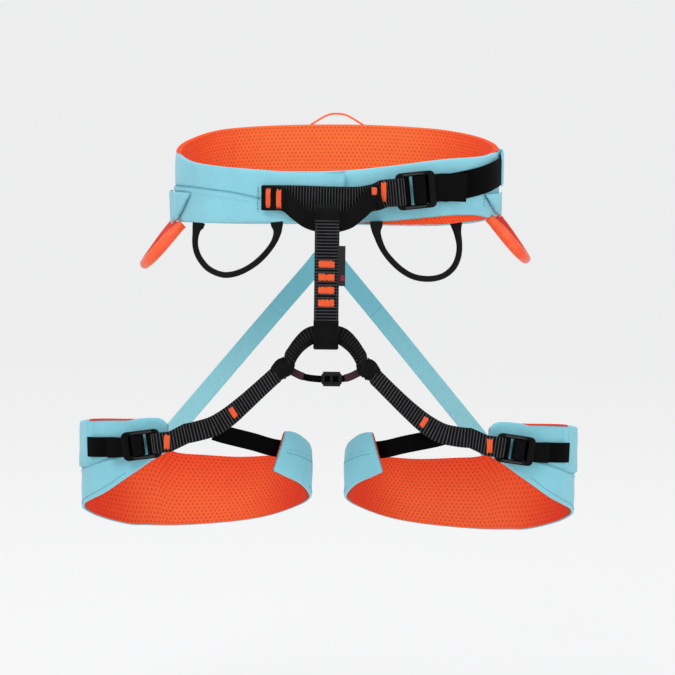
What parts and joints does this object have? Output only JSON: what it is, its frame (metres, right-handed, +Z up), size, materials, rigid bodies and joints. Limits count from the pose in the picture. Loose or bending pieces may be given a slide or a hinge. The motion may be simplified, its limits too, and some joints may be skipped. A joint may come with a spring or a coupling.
{
  "type": "climbing harness",
  "caption": "Sport climbing harness with a padded waist belt, padded leg loops, belay loop, webbing buckles and gear loops.",
  "frame": {"origin": "middle of the waist opening, halfway up the front of the belt", "axes": "+Z up, -Y to the wearer's front, +X to the wearer's left"},
  "size_m": [0.4198, 0.224, 0.3601],
  "materials": {
    "shell_fabric": "smooth woven ripstop, matt",
    "liner_mesh": "perforated mesh, matt",
    "foam": "closed-cell foam",
    "webbing": "ribbed and flat webbing",
    "elastic": "woven elastic",
    "buckle_metal": "black anodised",
    "clip_plastic": "moulded",
    "label": "woven, blank",
    "loop_cord": "sheathed cord",
    "loop_moulding": "moulded tube, slightly clear at the tip",
    "haul_cord": "thin cord"
  },
  "bodies": {
    "waist_belt": {"waist_shell": "shell_fabric", "waist_foam": "foam", "waist_liner": "liner_mesh", "side_tab_left": "shell_fabric", "side_tab_right": "shell_fabric", "tie_in_webbing": "webbing", "tie_in_sling": "webbing", "waist_strap": "webbing", "strap_sleeve": "shell_fabric", "riser_hook": "clip_plastic", "riser_upper_left": "elastic", "riser_upper_right": "elastic"},
    "waist_buckle": {"waist_buckle_frame": "buckle_metal", "waist_strap_wrap": "webbing"},
    "waist_slider": {"waist_buckle_slider": "buckle_metal"},
    "belay": {"belay_loop": "webbing", "belay_label": "label"},
    "leg_bridge": {"leg_tie_in_ring": "webbing", "crotch_strap": "webbing"},
    "crotch_buckle": {"crotch_adjuster": "clip_plastic"},
    "leg_left": {"leg_shell_left": "shell_fabric", "leg_foam_left": "foam", "leg_liner_left": "liner_mesh", "leg_strap_left": "webbing", "inner_strap_left": "webbing", "leg_tail_left": "webbing", "riser_lower_left": "elastic"},
    "leg_buckle_left": {"leg_buckle_frame_left": "buckle_metal", "leg_tail_wrap_left": "webbing"},
    "leg_slider_left": {"leg_buckle_slider_left": "buckle_metal"},
    "front_loop_left": {"gear_loop_front_left": "loop_cord"},
    "rear_loop_left": {"gear_loop_rear_left": "loop_moulding"},
    "leg_right": {"leg_shell_right": "shell_fabric", "leg_foam_right": "foam", "leg_liner_right": "liner_mesh", "leg_strap_right": "webbing", "inner_strap_right": "webbing", "leg_tail_right": "webbing", "riser_lower_right": "elastic"},
    "leg_buckle_right": {"leg_buckle_frame_right": "buckle_metal", "leg_tail_wrap_right": "webbing"},
    "leg_slider_right": {"leg_buckle_slider_right": "buckle_metal"},
    "front_loop_right": {"gear_loop_front_right": "loop_cord"},
    "rear_loop_right": {"gear_loop_rear_right": "loop_moulding"},
    "haul": {"haul_loop": "haul_cord"}
  },
  "joints": [
    {"name": "legs_swing", "type": "hinge", "parent": "waist_belt", "child": "leg_bridge", "pos_m": [-0.0074, -0.1135, -0.022], "axis": [1, 0, 0], "range_deg": [-6, 4], "stiffness_Nm_per_rad": 6, "springref_deg": 1.06, "deforming": ["riser_upper_left", "riser_upper_right"]},
    {"name": "belay_swing", "type": "hinge", "parent": "waist_belt", "child": "belay", "pos_m": [-0.0074, -0.1135, -0.022], "axis": [1, 0, 0], "range_deg": [-6, 4]},
    {"name": "crotch_adjuster_slide", "type": "slide", "parent": "leg_bridge", "child": "crotch_buckle", "axis": [1, 0, 0], "range_m": [-0.002, 0.002], "stiffness_N_per_m": 5},
    {"name": "leg_left_swing", "type": "hinge", "parent": "leg_bridge", "child": "leg_left", "pos_m": [-0.0414, -0.1135, -0.146], "axis": [1, 0, 0], "range_deg": [-12, 14], "stiffness_Nm_per_rad": 2.5, "springref_deg": 1.27, "deforming": ["riser_lower_left"]},
    {"name": "leg_right_swing", "type": "hinge", "parent": "leg_bridge", "child": "leg_right", "pos_m": [0.0266, -0.1135, -0.146], "axis": [1, 0, 0], "range_deg": [-12, 14], "stiffness_Nm_per_rad": 2.5, "springref_deg": 1.27, "deforming": ["riser_lower_right"]},
    {"name": "waist_buckle_tilt", "type": "hinge", "parent": "waist_belt", "child": "waist_buckle", "pos_m": [0.05053, -0.10175, -0.00252], "axis": [0.0996, 0.0316, -0.9945], "range_deg": [0, 20], "stiffness_Nm_per_rad": 0.2},
    {"name": "waist_slider_slide", "type": "slide", "parent": "waist_buckle", "child": "waist_slider", "axis": [-0.9481, -0.3004, -0.1045], "range_m": [0, 0.002], "stiffness_N_per_m": 60},
    {"name": "leg_buckle_left_tilt", "type": "hinge", "parent": "leg_left", "child": "leg_buckle_left", "pos_m": [-0.14421, -0.09827, -0.21043], "axis": [-0.1476, 0.0519, 0.9877], "range_deg": [0, 20], "stiffness_Nm_per_rad": 0.1},
    {"name": "leg_slider_left_slide", "type": "slide", "parent": "leg_buckle_left", "child": "leg_slider_left", "axis": [0.9318, -0.3277, 0.1564], "range_m": [0, 0.002], "stiffness_N_per_m": 60},
    {"name": "leg_buckle_right_tilt", "type": "hinge", "parent": "leg_right", "child": "leg_buckle_right", "pos_m": [0.13521, -0.09827, -0.21043], "axis": [-0.1476, -0.0519, -0.9877], "range_deg": [0, 20], "stiffness_Nm_per_rad": 0.1},
    {"name": "leg_slider_right_slide", "type": "slide", "parent": "leg_buckle_right", "child": "leg_slider_right", "axis": [-0.9318, -0.3277, 0.1564], "range_m": [0, 0.002], "stiffness_N_per_m": 60},
    {"name": "front_loop_left_swing", "type": "hinge", "parent": "waist_belt", "child": "front_loop_left", "pos_m": [-0.115, -0.0539, -0.0332], "axis": [0.8674, -0.4977, 0], "range_deg": [-60, 8], "stiffness_Nm_per_rad": 0.02},
    {"name": "front_loop_right_swing", "type": "hinge", "parent": "waist_belt", "child": "front_loop_right", "pos_m": [0.0327, -0.0941, -0.0306], "axis": [0.8694, 0.494, 0], "range_deg": [-60, 8], "stiffness_Nm_per_rad": 0.02},
    {"name": "rear_loop_left_flex", "type": "hinge", "parent": "waist_belt", "child": "rear_loop_left", "pos_m": [-0.136, 0, -0.0356], "axis": [-0.1269, 0.9919, 0], "range_deg": [-14, 14], "stiffness_Nm_per_rad": 0.6, "springref_deg": 0.13},
    {"name": "rear_loop_right_flex", "type": "hinge", "parent": "waist_belt", "child": "rear_loop_right", "pos_m": [0.1345, 0, -0.0273], "axis": [-0.1269, -0.9919, 0], "range_deg": [-14, 14], "stiffness_Nm_per_rad": 0.6, "springref_deg": 0.13},
    {"name": "haul_loop_fold", "type": "hinge", "parent": "waist_belt", "child": "haul", "pos_m": [-0.0005, 0.097, 0.0534], "axis": [1, 0, 0], "range_deg": [-70, 70], "stiffness_Nm_per_rad": 0.002}
  ],
  "couplings": [
    {"joint": "belay_swing", "follows": "legs_swing", "ratio": 1}
  ]
}
